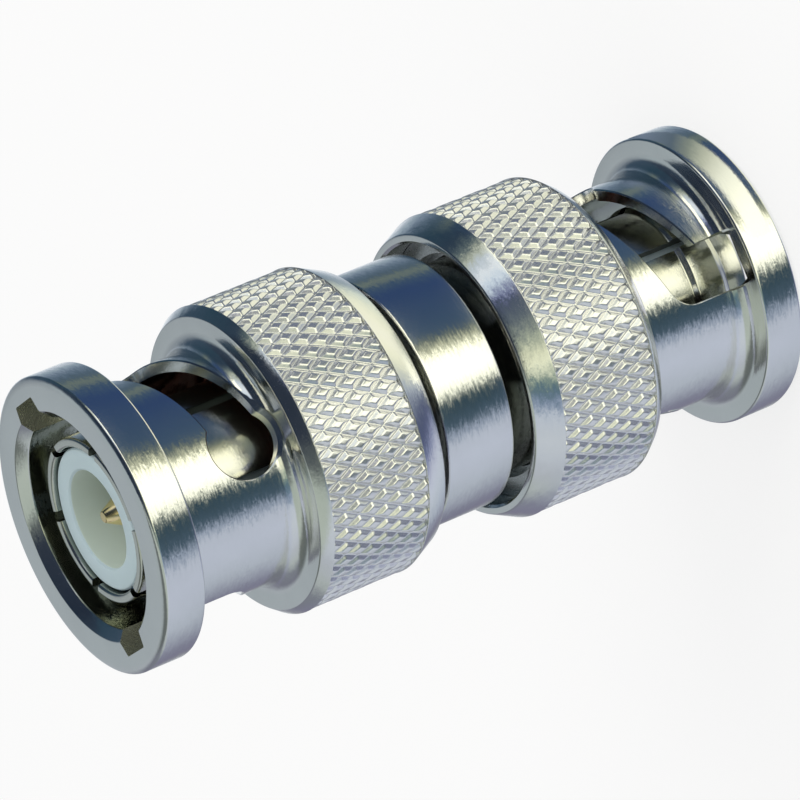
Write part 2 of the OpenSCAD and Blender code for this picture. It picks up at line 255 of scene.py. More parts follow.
def mixNode(tree, share, a, b):
    # Colours, or colour sockets, mixed by a share that is a socket
    node = tree.nodes.new("ShaderNodeMix")
    node.data_type = "RGBA"
    for socket, value in (("Factor", share), ("A", a), ("B", b)):
        feed(tree, value, node.inputs[socket])
    return node.outputs["Result"]


def noiseNode(tree, vector, scale, detail, roughness):
    # Its outputs are a value and a colour
    node = tree.nodes.new("ShaderNodeTexNoise")
    node.inputs["Scale"].default_value = scale
    node.inputs["Detail"].default_value = detail
    node.inputs["Roughness"].default_value = roughness
    link(tree, vector, node.inputs["Vector"])
    return node.outputs


def bumpNode(tree, height, distance, strength):
    # The normal, leant as if the surface rose by height times distance
    node = tree.nodes.new("ShaderNodeBump")
    node.inputs["Distance"].default_value = distance
    node.inputs["Strength"].default_value = strength
    link(tree, height, node.inputs["Height"])
    return node.outputs[0]


def mixShaders(tree, share, first, second):
    # First times what share leaves of 1, plus second times share
    node = tree.nodes.new("ShaderNodeMixShader")
    for socket, value in zip(node.inputs, (share, first, second)):
        feed(tree, value, socket)
    return node.outputs[0]


# Finishes

def newMaterial(name):
    # The material, its node tree and the shader in it
    material = bpy.data.materials.new(name)
    material.use_nodes = True
    tree = material.node_tree
    return material, tree, tree.nodes["Principled BSDF"]


def varyRoughness(tree, shader, pattern, rough, spread):
    # The pattern takes the roughness half the spread to each side
    change = mathNode(tree, "MULTIPLY", pattern, spread)
    link(tree, mathNode(tree, "ADD", change, rough - spread / 2), shader.inputs["Roughness"])


noiseRange = {"low": 0.3, "middle": 0.5, "high": 0.7}  # most of a noise's values lie between low and high


def mottledTone(tree, look, pattern):
    # The colour, darker by mottle where the pattern is low
    dark = tuple(c * (1 - look["mottle"]) for c in look["colour"])
    return rampNode(tree, pattern, [(noiseRange["low"], dark), (noiseRange["high"], look["colour"])])


def roundTheAxis(tree, place, alongTurn, across):
    # [cosine, sine, height plus radius], each stretched: a noise there makes lines as a lathe leaves them
    x, y, z = splitNode(tree, place)
    squares = mathNode(tree, "ADD", mathNode(tree, "MULTIPLY", x, x), mathNode(tree, "MULTIPLY", y, y))
    radius = mathNode(tree, "SQRT", squares)
    join = tree.nodes.new("ShaderNodeCombineXYZ")
    for socket, side in zip(join.inputs, (x, y)):
        link(tree, mathNode(tree, "MULTIPLY", mathNode(tree, "DIVIDE", side, radius), alongTurn), socket)
    height, outward = mathNode(tree, "MULTIPLY", z, across), mathNode(tree, "MULTIPLY", radius, across)
    link(tree, mathNode(tree, "ADD", height, outward), join.inputs[2])
    return join.outputs[0]


# Between which values of the normal's part away from the axis, and of its flatness, the painted inside tone
# and the wall tone set in
facing = {"paintedInsideShare": (-0.80, -0.97), "edgeOn": (0.4, 0.15)}


def facingShares(tree, place):
    # How far a surface faces the axis, and how far it stands edge on to it, as the walls of slots do. For the
    # second, flatness is the square of the normal's part away from the axis plus that of its upright part
    normal = tree.nodes.new("ShaderNodeNewGeometry").outputs["True Normal"]
    fromAxis = vectorNode(tree, "NORMALIZE", vectorNode(tree, "MULTIPLY", place, (1, 1, 0)))
    outward = vectorNode(tree, "DOT_PRODUCT", fromAxis, normal)
    upright = splitNode(tree, normal)[2]
    flatness = mathNode(tree, "ADD", mathNode(tree, "MULTIPLY", outward, outward),
                        mathNode(tree, "MULTIPLY", upright, upright))
    return smoothRange(tree, outward, *facing["paintedInsideShare"]), smoothRange(tree, flatness, *facing["edgeOn"])


# The tone of what faces the axis is painted shade, as in the shade of a bore, and wall is that of cut walls.
# The turned lines swing the normal by up to wobble, and the specks lean it any way, most within patches.
# Noises are
# [scale, detail, roughness] and bumps [distance in metres, strength]
turnedNickel = {
    "colour": (0.90, 0.895, 0.875), "inside": (0.46, 0.48, 0.42), "wall": (0.86, 0.86, 0.78),
    "metal": 1.0, "rough": 0.13, "roughSpread": 0.14, "mottle": 0.05, "grainNoise": (420.0, 3.0, 0.55),
    "wobble": 0.09, "alongTurn": 12.0, "across": 9000.0, "lineNoise": (1.0, 4.0, 0.65),
    "bump": (0.0004, 0.02), "speck": 0.12, "speckLeast": 0.12, "speckNoise": (11000.0, 1.0, 0.5),
    "patch": (0.40, 0.70), "patchNoise": (2600.0, 2.0, 0.5),
}


def nickelNormal(tree, look, lines, place):
    # The bumped normal, leant round the axis from line to line and any way at the specks
    normal = tree.nodes.new("ShaderNodeNewGeometry").outputs["Normal"]
    roundAxis = vectorNode(tree, "CROSS_PRODUCT", (0, 0, 1), normal)
    fromMiddle = mathNode(tree, "SUBTRACT", lines, noiseRange["middle"])
    swing = mathNode(tree, "MULTIPLY", fromMiddle, look["wobble"] * 2)
    bumped = bumpNode(tree, lines, *look["bump"])
    leant = vectorNode(tree, "ADD", bumped, vectorNode(tree, "SCALE", roundAxis, swing))
    specks = noiseNode(tree, place, *look["speckNoise"])["Color"]
    anyWay = vectorNode(tree, "SUBTRACT", specks, (noiseRange["middle"],) * 3)
    patches = smoothRange(tree, noiseNode(tree, place, *look["patchNoise"])[0], *look["patch"])
    amount = mathNode(tree, "ADD", mathNode(tree, "MULTIPLY", patches, look["speck"]),
                      look["speck"] * look["speckLeast"])
    pitted = vectorNode(tree, "ADD", leant, vectorNode(tree, "SCALE", anyWay, amount))
    return vectorNode(tree, "NORMALIZE", pitted)


def nickelMaterial(name, look):
    # Bright nickel plate with fine broken turned lines. What faces the axis, as in a bore, is painted darker:
    # painted shade
    material, tree, shader = newMaterial(name)
    shader.inputs["Metallic"].default_value = look["metal"]
    place = tree.nodes.new("ShaderNodeTexCoord").outputs["Object"]
    turnedPlace = roundTheAxis(tree, place, look["alongTurn"], look["across"])
    lines = noiseNode(tree, turnedPlace, *look["lineNoise"])[0]
    tone = mottledTone(tree, look, noiseNode(tree, place, *look["grainNoise"])[0])
    paintedInsideShare, edgeOn = facingShares(tree, place)
    # Painted shade: faces turned towards the axis take the darker inside tone
    tone = mixNode(tree, paintedInsideShare, tone, (*look["inside"], 1))
    tone = mixNode(tree, edgeOn, tone, (*look["wall"], 1))
    link(tree, tone, shader.inputs["Base Color"])
    varyRoughness(tree, shader, lines, look["rough"], look["roughSpread"])
    link(tree, nickelNormal(tree, look, lines, place), shader.inputs["Normal"])
    return material


plainFinish = {"metal": 0.0, "roughSpread": 0.06, "bump": (0.00002, 0.15)}
# The PTFE's inside tone is paler than its outside: painted light inside the cup
whitePtfe = dict(plainFinish, colour=(0.40, 0.50, 0.53), inside=(0.50, 0.58, 0.52), rough=0.42,
                 roughSpread=0.1, mottle=0.03, grainNoise=(900.0, 4.0, 0.6), translucent=0.35,
                 lightDepth=(0.0006, 0.0006, 0.0007))  # in metres, for red, green and blue
goldPlate = dict(plainFinish, colour=(1.0, 0.79, 0.42), metal=1.0, rough=0.14, mottle=0.08,
                 grainNoise=(2500.0, 4.0, 0.6))
redRubber = dict(plainFinish, colour=(0.22, 0.05, 0.03), rough=0.55, mottle=0.12,
                 grainNoise=(1600.0, 4.0, 0.6))


def plainMaterial(name, look):
    # A colour with a slight mottle, and the same grain in its gloss and its surface
    material, tree, shader = newMaterial(name)
    shader.inputs["Metallic"].default_value = look["metal"]
    place = tree.nodes.new("ShaderNodeTexCoord").outputs["Object"]
    grain = noiseNode(tree, place, *look["grainNoise"])[0]
    tone = mottledTone(tree, look, grain)
    # Where the look has an inside tone, what faces the axis takes it: in the PTFE cup a paler tone, painted
    # light
    if "inside" in look:
        tone = mixNode(tree, facingShares(tree, place)[0], tone, (*look["inside"], 1))
    link(tree, tone, shader.inputs["Base Color"])
    varyRoughness(tree, shader, grain, look["rough"], look["roughSpread"])
    link(tree, bumpNode(tree, grain, *look["bump"]), shader.inputs["Normal"])
    if "translucent" in look:
        shader.inputs["Subsurface Weight"].default_value = look["translucent"]
        shader.inputs["Subsurface Radius"].default_value = look["lightDepth"]
        shader.inputs["Subsurface Scale"].default_value = 1.0
    return material


nickel = nickelMaterial("turnedNickelPlate", turnedNickel)
knurlNickel = nickelMaterial("knurledNickelPlate", dict(
    turnedNickel, wall=turnedNickel["colour"], metal=0.86, rough=0.22, wobble=0.01))
# The notch walls: rougher, as milled, and a dark olive tone that is painted shade in the notches
milledShadeTone = (0.44, 0.45, 0.33)
milledShadedNickel = nickelMaterial("notchNickelWithPaintedShade", dict(
    turnedNickel, colour=milledShadeTone, wall=milledShadeTone, inside=milledShadeTone, metal=0.8, rough=0.26,
    wobble=0.1))
barrelNickel = nickelMaterial("barrelNickelPlate", dict(
    turnedNickel, wall=(0.68, 0.69, 0.60), speck=0.08))
# The spring tube's cut walls are near black: painted shade in its slits
contactPlate = nickelMaterial("contactPlate", dict(
    turnedNickel, colour=(0.78, 0.77, 0.70), wall=(0.10, 0.10, 0.08), rough=0.18, wobble=0.03))
ptfe = plainMaterial("whitePtfe", whitePtfe)
gold = plainMaterial("goldPlate", goldPlate)
rubber = plainMaterial("redRubber", redRubber)
springSteel = nickelMaterial("springSteel", dict(
    turnedNickel, colour=(0.6, 0.6, 0.6), rough=0.28, wobble=0.02))
print("materials made")


# Coupling nut

# One turned piece: ring, sleeve, collar, grip and tapered rim. At the shoulder the bore opens into a rear
# chamber, where a groove holds the retaining ring
nut = {
    "bore": 4.9, "leadIn": 0.45, "mouthSoft": 0.05, "edge": 0.12,
    "ring": 6.9, "ringWidth": 2.05, "ringRound": 0.22, "ringRoll": 0.45,
    "sleeve": 5.45, "fillet": 0.72, "collar": 6.86, "collarDepth": 7.94, "collarSoft": 0.06,
    "grip": 7.25, "gripRoot": 6.95, "underGrip": 0.1, "gripStart": 8.47, "gripEnd": 13.44,
    "gripSoft": 0.05, "rim": 6.65, "length": 14.7, "rimSoft": 0.08, "chamber": 6.23, "shoulder": 10.18,
    "snapStart": 12.7, "snapEnd": 13.46, "snapGroove": 6.6,
    "steps": 288, "rollSteps": 12, "edgeSteps": 4, "filletSteps": 14,
}
# The bayonet slots. entry, rise and turn place the centre line, and curve bends it. The cutter starts
# narrower, startPast before the line, and ends endPast beyond it, inside the round detent hole
slot = {
    "width": 2.5, "entry": 4.4, "rise": 1.93, "turn": 87.5, "curve": 1.4, "edge": 0.06, "steps": 29,
    "startWidth": 0.9, "startPast": 0.3, "endPast": 0.4, "endSlopeAt": 0.999,
    "detent": 1.63, "detentBack": 0.1, "detentSteps": 72,
}
# The straight way from the ring to each slot, and the flared groove through the ring itself
channel = {"radius": 6.05, "start": 1.8, "edge": 0.1, "edgeHalf": 0.05, "roundSteps": 25}
groove = {"radius": 5.95, "width": 1.93, "soft": 0.07}
# How far the cutters reach past the walls that they cut
reach = {"slotIn": 2.0, "slotOut": 1.1, "detentOut": 1.3, "lip": 0.12, "channelIn": 1.2, "grooveIn": 0.6}


def nutProfile():
    # Closed outline [radius, depth] of the turned nut, without the knurl: arcs at the fillets and the back of
    # the ring, a quarter of an ellipse round its front, and soft corners elsewhere
    s = nut
    mouth = softBends([
        [s["bore"], s["ringWidth"]], [s["bore"], s["leadIn"]], [s["bore"] + s["leadIn"], 0],
        [s["ring"] - s["ringRoll"], 0]], s["mouthSoft"])
    sweep = np.radians(np.linspace(0, 90, s["rollSteps"] + 1))
    ringFront = np.stack([s["ring"] - s["ringRoll"] * (1 - np.sin(sweep)),
                          s["ringRound"] * (1 - np.cos(sweep))], -1)
    ringBack = arc(s["ring"] - s["edge"], s["ringWidth"] - s["edge"], s["edge"], 0, 90, s["edgeSteps"])
    web = s["sleeve"] + s["fillet"]
    ringFillet = arc(web, s["ringWidth"] + s["fillet"], s["fillet"], 270, 180, s["filletSteps"])
    collarFillet = arc(web, s["collarDepth"] - s["fillet"], s["fillet"], 180, 90, s["filletSteps"])
    core = s["gripRoot"] - s["underGrip"]
    collarFront, collarBack = [s["collar"], s["collarDepth"]], [s["grip"], s["gripStart"]]
    gripBack, rimBack = [s["grip"], s["gripEnd"]], [s["rim"], s["length"]]
    coreFront, coreBack = [core, s["gripStart"]], [core, s["gripEnd"]]
    rear = np.array([
        [s["chamber"] + s["edge"], s["length"]], [s["chamber"], s["length"] - s["edge"]],
        [s["chamber"], s["snapEnd"]], [s["snapGroove"], s["snapEnd"]], [s["snapGroove"], s["snapStart"]],
        [s["chamber"], s["snapStart"]], [s["chamber"], s["shoulder"]], [s["bore"], s["shoulder"]]])
    return np.concatenate([
        mouth, ringFront, ringBack, ringFillet, collarFillet,
        softBends([[web, s["collarDepth"]], collarFront, collarBack], s["collarSoft"]),
        softBends([collarFront, collarBack, coreFront], s["gripSoft"]), [coreFront, coreBack],
        softBends([coreBack, gripBack, rimBack], s["gripSoft"]),
        softBends([gripBack, rimBack, [s["chamber"], s["length"]]], s["rimSoft"]), rear])


def stackCutter(name, sections, place, turn):
    # Sections, each a row of points [x, y, depth], are joined in turn, with flat ends
    return meshObject(name, place(sections, turn), stackFaces(*sections.shape[:2]))


def prism(outline, depths):
    # The same outline [x, y] at each depth
    return np.array([np.insert(outline, 2, depth, 1) for depth in depths])


def slotDepth(t):
    # The slot's centre line sinks towards its round end and flattens there
    return slot["entry"] + slot["rise"] * (1 - (1 - t) ** slot["curve"])


def onSleeve(across, along, outward, turn):
    # Points across the slot and along the axis, outward from the sleeve's surface, turned by radians
    radial = np.sqrt(nut["sleeve"] ** 2 - across ** 2) + outward
    x = radial * np.cos(turn) - across * np.sin(turn)
    y = radial * np.sin(turn) + across * np.cos(turn)
    return np.stack([x, y, along], -1)


def slotCutter(name, place, turn):
    # Sections along the slot, square to its centre line: a pair of walls with a flared lip at the surface
    steps = slot["steps"]
    t = np.concatenate([[0.0], np.linspace(0, 1, steps), [1.0]])
    past = np.concatenate([[-slot["startPast"]], np.zeros(steps), [slot["endPast"]]])[:, None]
    narrow = np.concatenate([[slot["startWidth"]], np.ones(steps + 1)])
    fall = slot["rise"] * slot["curve"] * (1 - np.minimum(t, slot["endSlopeAt"])) ** (slot["curve"] - 1)
    slope = np.arctan(fall / (nut["sleeve"] * math.radians(slot["turn"])))[:, None]
    flare = slot["edge"] + reach["lip"]
    wall = [(-reach["slotIn"], 0.0), (-slot["edge"], 0.0), (reach["lip"], flare),
            (reach["slotOut"], flare)]
    section = [(*point, -1) for point in wall] + [(*point, 1) for point in wall[::-1]]
    outward, grow, side = np.array(section).T[:, None, :]
    wide = (slot["width"] / 2 * narrow)[:, None] + grow
    across = past * np.cos(slope) - side * wide * np.sin(slope)
    along = slotDepth(t)[:, None] + past * np.sin(slope) + side * wide * np.cos(slope)
    turns = np.radians(slot["turn"] * t)[:, None]
    return stackCutter(name, onSleeve(across, along, outward, turns), place, turn)


def detentCutter(name, place, turn):
    # A round hole with a small flare that follows the sleeve's surface
    a = np.linspace(0, 2 * math.pi, slot["detentSteps"], endpoint=False)[None, :]
    flare = slot["edge"] + reach["lip"]
    radius = slot["detent"] + np.array([0.0, 0.0, flare, flare])[:, None]
    outward = np.array([-reach["slotIn"], -slot["edge"], reach["lip"], reach["detentOut"]])[:, None]
    along = radius * np.sin(a) + slotDepth(1.0) - slot["detentBack"]
    points = onSleeve(radius * np.cos(a), along, outward, math.radians(slot["turn"]))
    return stackCutter(name, points, place, turn)


def channelCutter(name, place, turn):
    # From the ring to the slot's start: straight sides, a round end and a small chamfer at the surface
    a = np.linspace(0, math.pi, channel["roundSteps"])
    half = slot["width"] / 2 + np.array([0.0, 0.0, channel["edge"], channel["edge"]])[:, None]
    across = np.concatenate([-half, half, half * np.cos(a)], 1)
    start = np.full((4, 2), channel["start"])
    depth = np.concatenate([start, slot["entry"] + half * np.sin(a)], 1)
    surface = np.sqrt(nut["sleeve"] ** 2 - across ** 2)
    outward = np.stack([np.full(across.shape[1], nut["bore"] - reach["channelIn"]),
                        surface[1] - channel["edgeHalf"], surface[2] + channel["edgeHalf"],
                        np.full(across.shape[1], channel["radius"])])
    return stackCutter(name, np.stack([outward, across, depth], -1), place, turn)


def grooveCutter(name, place, turn):
    # A prism through the ring that flares inwards, as wide as the slot at the bore
    inner, outer = nut["bore"] - reach["grooveIn"], groove["radius"]
    flare = (slot["width"] - groove["width"]) / 2 / (outer - nut["bore"])
    halfOuter = groove["width"] / 2
    halfInner = slot["width"] / 2 + flare * reach["grooveIn"]
    corners = [[inner, -halfInner], [outer, -halfOuter], [outer, halfOuter], [inner, halfInner]]
    outline = softCorners(corners, groove["soft"])
    return stackCutter(name, prism(outline, (-reach["grooveIn"], nut["ringWidth"])), place, turn)


# A notch's faces lie between bore and channel, within slack. They are upright to within lean, and look less
# than outward from the axis or lie at least beyond past the bore
notch = {"slack": 0.02, "lean": 0.3, "outward": 0.75, "beyond": 0.5}


def markNotches(obj):
    # The walls of the two notches in the ring get the milled finish, whose dark olive tone is painted shade
    count = len(obj.data.polygons)
    centre, normal = np.empty(count * 3), np.empty(count * 3)
    obj.data.polygons.foreach_get("center", centre)
    obj.data.polygons.foreach_get("normal", normal)
    centre, normal = centre.reshape(-1, 3) / mm, normal.reshape(-1, 3)
    radius = np.hypot(centre[:, 0], centre[:, 1])
    outward = (centre[:, :2] * normal[:, :2]).sum(1) / radius
    depth = np.minimum(centre[:, 2], totalLength - centre[:, 2])
    inRing = (radius > nut["bore"] + notch["slack"]) & (radius < channel["radius"] + notch["slack"])
    isWall = (np.abs(outward) < notch["outward"]) | (radius > nut["bore"] + notch["beyond"])
    marked = (depth < nut["ringWidth"]) & inRing & isWall & (np.abs(normal[:, 2]) < notch["lean"])
    obj.data.polygons.foreach_set("material_index", marked.astype(np.int32))


def makeNut(name, place, turn):
    # The revolved profile, less two sets of slot, detent, channel and groove, half a turn apart
    profile, steps = nutProfile(), nut["steps"]
    obj = meshObject(name, place(revolved(profile, steps), turn), ringFaces(len(profile), steps))
    cutters = [makeCutter(name + "Cut", place, turn + half) for half in (0, 180)
               for makeCutter in (slotCutter, detentCutter, channelCutter, grooveCutter)]
    for piece in cutters + [obj]:
        outwardNormals(piece)
    cutWith(obj, cutters)
    finishShading(obj)
    obj.data.materials.clear()
    obj.data.materials.append(nickel)
    obj.data.materials.append(milledShadedNickel)
    markNotches(obj)
    return obj


# count is the diamonds round the grip, and perCell the mesh steps to a diamond each way. wall is the share
# of a diamond that its slopes take, and soft and bottom round its top edge and the groove. The band is inset
# from the grip's ends and drops below its radius. Its edges are tucked past those ends, buried under the root
knurl = {"count": 58, "perCell": 20, "rows": 71, "depth": 0.18, "wall": 0.54, "soft": 0.16,
         "bottom": 0.14, "inset": 0.01, "drop": 0.03, "buried": 0.2, "tuck": 0.1}


def grooveDistance(steps):
    # 0 in a groove and 1 midway to the next, for mesh steps counted across the grooves
    return 1 - np.abs(2 * (steps % knurl["perCell"]) / knurl["perCell"] - 1)


def diamondHeight(distanceA, distanceB):
    # Two families of V grooves cross. Their walls climb to a rounded edge, with a flat left between them
    wall = np.minimum(distanceA, distanceB) / knurl["wall"]
    soft = 0.5 * (wall + 1.0 - np.sqrt((wall - 1.0) ** 2 + knurl["soft"] ** 2)) + 0.5 * knurl["soft"]
    return np.clip(np.sqrt(soft ** 2 + knurl["bottom"] ** 2) - knurl["bottom"], 0, 1)


def makeGrip(name, place, turn):
    # The knurled band: a grid round the axis whose radius follows the diamonds, with a plain wall inside
    columns = knurl["count"] * knurl["perCell"]
    column = np.arange(columns)[None, :]
    row = np.arange(knurl["rows"] + 1)[:, None]
    start, end = nut["gripStart"] + knurl["inset"], nut["gripEnd"] - knurl["inset"]
    height = diamondHeight(grooveDistance(row + column), grooveDistance(row - column))
    radius = nut["grip"] - knurl["drop"] - knurl["depth"] * (1 - height)
    buried = np.full((1, columns), nut["gripRoot"] - knurl["buried"])
    radius = np.concatenate([buried, radius, buried])
    depth = start + (end - start) * row / knurl["rows"]
    tuckedStart, tuckedEnd = nut["gripStart"] - knurl["tuck"], nut["gripEnd"] + knurl["tuck"]
    depth = np.concatenate([[[tuckedStart]], depth, [[tuckedEnd]]])
    angle = 2 * math.pi * column / columns
    points = np.stack([radius * np.cos(angle), radius * np.sin(angle), depth + 0 * angle], -1)
    # Each quad is split along the groove that is nearer to its middle. Row 0 is the first knurled one
    quads = ringFaces(len(points), columns)
    row = np.arange(len(points))[:, None] - 1
    alongA = (grooveDistance(row + column + 1) < grooveDistance(row - column)).reshape(-1)
    splitA = np.concatenate([quads[alongA][:, [0, 1, 3]], quads[alongA][:, [1, 2, 3]]])
    splitB = np.concatenate([quads[~alongA][:, [0, 1, 2]], quads[~alongA][:, [0, 2, 3]]])
    obj = meshObject(name, place(points, turn), np.concatenate([splitA, splitB]))
    outwardNormals(obj)
    obj.data.shade_smooth()
    obj.data.materials.append(knurlNickel)
    return obj


ends = {"a": (toUpperEnd, "A"), "b": (toLowerEnd, "B")}
for key, (place, letter) in ends.items():
    nutPiece = makeNut("nut" + letter, place, endTurn["nut" + letter])
    gripPiece = makeGrip("grip" + letter, place, endTurn["nut" + letter])
    for piece in (nutPiece, gripPiece):
        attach(piece, "nut_" + key)
        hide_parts("coupling_nut_" + key)
    print("nut", letter, len(nutPiece.data.polygons), "faces, grip", len(gripPiece.data.polygons))


# Spring tube, insulator, gasket and end body of each end

# The spring tube: a slit front with a raised lip that grips the jack, and a closer seat for the cup behind
contact = {
    "tip": 0.7, "end": 13.2, "radius": 3.85, "wall": 0.45, "nose": 0.09, "soft": 0.06, "steps": 240,
    "lip": 4.05, "lipStart": 1.35, "lipSlope": 0.3, "lipLength": 1.35, "lipBack": 0.2,
    "seat": 3.35, "seatStart": 8.75,
    "slits": 6, "slitWidth": 0.48, "slitLength": 7.6, "cutFrom": 2.3, "cutTo": 4.4, "cutAhead": 0.5,
}


def contactProfile():
    # Closed outline [radius, depth] of the spring tube, its slits left out
    s = contact
    inner = s["radius"] - s["wall"]
    lipStart = s["tip"] + s["lipStart"]
    lipEnd = lipStart + s["lipLength"]
    nose = [[inner, s["tip"] + s["nose"]], [inner + s["nose"], s["tip"]],
            [s["radius"] - s["nose"], s["tip"]], [s["radius"], s["tip"] + s["nose"]]]
    lip = [[s["radius"], lipStart - s["lipSlope"]], [s["lip"], lipStart],
           [s["lip"], lipEnd], [s["radius"], lipEnd + s["lipBack"]]]
    rear = [[s["radius"], s["end"]], [s["seat"], s["end"]],
            [s["seat"], s["seatStart"]], [inner, s["seatStart"]]]
    return nose + lip + rear


def slitCutter(name, place, turn):
    # A thin box from inside the tube to outside it
    inner, outer, half = contact["cutFrom"], contact["cutTo"], contact["slitWidth"] / 2
    outline = np.array([[inner, -half], [outer, -half], [outer, half], [inner, half]])
    depths = (contact["tip"] - contact["cutAhead"], contact["tip"] + contact["slitLength"])
    cutter = stackCutter(name, prism(outline, depths), place, turn)
    outwardNormals(cutter)
    return cutter


def makeContact(name, place, turn):
    # The revolved profile, less its slits at equal steps round the axis
    tube = turned(name, contactProfile(), place, turn, contact["steps"], contact["soft"])
    between = 360 / contact["slits"]
    cutWith(tube, [slitCutter("slitCut", place, turn + between * i) for i in range(contact["slits"])])
    return tube


# A cup with a floor, and a stepped hole for the pin behind it
cup = {"tip": 0.88, "outer": 3.33, "inner": 2.25, "floor": 5.97, "end": 13.2, "shankHole": 0.87,
       "rodHole": 1.12, "rodStart": 7.98, "soft": 0.24, "steps": 160}


def makeInsulator(name, place):
    # Closed outline [radius, depth], revolved
    s = cup
    return turned(name, [
        [s["inner"], s["tip"]], [s["outer"], s["tip"]], [s["outer"], s["end"]], [s["rodHole"], s["end"]],
        [s["rodHole"], s["rodStart"]], [s["shankHole"], s["rodStart"]], [s["shankHole"], s["floor"]],
        [s["inner"], s["floor"]]], place, 0, s["steps"], s["soft"])


gasket = {"inner": 4.1, "outer": 4.7, "front": 9.3, "back": 10.2, "soft": 0.18, "steps": 160}


def makeGasket(name, place):
    # A rectangle with rounded corners, revolved
    s = gasket
    return turned(name, [[s["inner"], s["front"]], [s["outer"], s["front"]], [s["outer"], s["back"]],
                         [s["inner"], s["back"]]], place, 0, s["steps"], s["soft"])


# The flange that the nut pulls on, the neck that it turns round, and the spigot in the barrel
body = {"mouth": 10.2, "flange": 6.15, "flangeEnd": 11.4, "neck": 5.0, "face": 15.35, "spigot": 4.4,
        "spigotEnd": 17.05, "bore": 3.0, "seat": 3.87, "seatEnd": 13.2, "soft": 0.08, "steps": 192}


def makeEndBody(name, place):
    # Closed outline [radius, depth], revolved
    s = body
    return turned(name, [
        [s["seat"], s["mouth"]], [s["flange"], s["mouth"]], [s["flange"], s["flangeEnd"]],
        [s["neck"], s["flangeEnd"]], [s["neck"], s["face"]], [s["spigot"], s["face"]],
        [s["spigot"], s["spigotEnd"]], [s["bore"], s["spigotEnd"]], [s["bore"], s["seatEnd"]],
        [s["seat"], s["seatEnd"]]], place, 0, s["steps"], s["soft"])


wave = {"clearNeck": 0.16, "underFlange": 0.08, "height": 0.9, "strip": 0.2, "gap": 0.02, "waves": 3,
        "stroke": 0.6, "steps": 180}


def makeWaveWasher(name, place):
    # A flat strip round the neck whose depth follows a cosine of the angle, three waves a turn
    a = np.linspace(0, 2 * math.pi, wave["steps"], endpoint=False)
    swing = (wave["height"] - wave["strip"] - 2 * wave["gap"]) / 2
    middle = body["flangeEnd"] + wave["height"] / 2 + swing * np.cos(wave["waves"] * a)
    inner, outer = body["neck"] + wave["clearNeck"], body["flange"] - wave["underFlange"]
    radius = np.array([inner, outer, outer, inner])[:, None]
    side = np.array([-1, -1, 1, 1])[:, None] * wave["strip"] / 2
    points = np.stack([radius * np.cos(a), radius * np.sin(a), middle + side], -1)
    obj = meshObject(name, place(points, 0), ringFaces(len(radius), wave["steps"]))
    outwardNormals(obj)
    obj.data.materials.append(springSteel)
    return obj


for key, (place, letter) in ends.items():
    waveWasher = makeWaveWasher("waveWasher" + letter, place)
    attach(waveWasher, "core")
    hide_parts("wave_washer_" + key)
    # The height of the flange's back face in metres, and a mesh of the washer's own
    flangeFace = place(np.array([0.0, 0.0, body["flangeEnd"]]), 0)[2] * mm
    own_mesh(waveWasher)
    tube = makeContact("contact" + letter, place, endTurn["contact" + letter])
    cupPiece = makeInsulator("insulator" + letter, place)
    rubberRing = makeGasket("gasket" + letter, place)
    bodyPiece = makeEndBody("endBody" + letter, place)
    for piece, node, look, slotName in (
            (tube, "outer_contact_", contactPlate, "contact_plate"),
            (cupPiece, "insulator_", ptfe, "white_insulator"),
            (rubberRing, "gasket_", rubber, "red_rubber"), (bodyPiece, "end_body_", nickel, "nickel")):
        finishShading(piece)
        piece.data.materials.clear()
        piece.data.materials.append(look)
        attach(piece, "core")
        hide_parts(node + key)
    print("inner pieces of end", letter, "made")


# Pin and barrel

# One pin from end to end: a cone to a blunt point, the pin itself, a shank in the cup's floor and a rod
pin = {"tip": 1.2, "radius": 0.675, "point": 0.8, "blunt": 0.26, "centre": 0.02, "shank": 0.85,
       "rodStart": 8.0, "rod": 1.1, "soft": 0.05, "steps": 96}


def makePin(name):
    # Half of the profile [radius, depth] and its mirror image from the other mouth, revolved. Flat ends
    half = np.array([
        [pin["centre"], pin["tip"]], [pin["blunt"], pin["tip"]],
        [pin["radius"], pin["tip"] + pin["point"]], [pin["radius"], cup["floor"]],
        [pin["shank"], cup["floor"]], [pin["shank"], pin["rodStart"]], [pin["rod"], pin["rodStart"]]])
    otherHalf = np.stack([half[::-1, 0], totalLength - half[::-1, 1]], -1)
    rows = softBends(np.concatenate([half, otherHalf]), pin["soft"])
    obj = meshObject(name, revolved(rows, pin["steps"]), stackFaces(len(rows), pin["steps"]))
    outwardNormals(obj)
    return obj


barrel = {"start": 15.35, "length": 3.5, "radius": 6.0, "bore": 4.42, "soft": 0.14, "steps": 288}


def makeBarrel(name):
    # A rectangle with soft corners, revolved
    end = barrel["start"] + barrel["length"]
    return turned(name, [
        [barrel["bore"], barrel["start"]], [barrel["radius"], barrel["start"]],
        [barrel["radius"], end], [barrel["bore"], end]], toLowerEnd, 0, barrel["steps"], barrel["soft"])


for piece, node, look, slotName in ((makePin("centrePin"), "centre_contact", gold, "gold"),
                                    (makeBarrel("barrel"), "centre_barrel", barrelNickel, "nickel")):
    finishShading(piece)
    piece.data.materials.append(look)
    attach(piece, "core")
    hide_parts(node)

# CAD nodes that stay as they are get the scene's finishes
plainNodes = {"centre_bead": ptfe, "thrust_washer_a": springSteel, "thrust_washer_b": springSteel,
              "retaining_ring_a": springSteel, "retaining_ring_b": springSteel}
for node, look in plainNodes.items():
    for materialSlot in frame["nodes"][node].material_slots:
        materialSlot.material = look
print("pin and barrel made")


# Studio

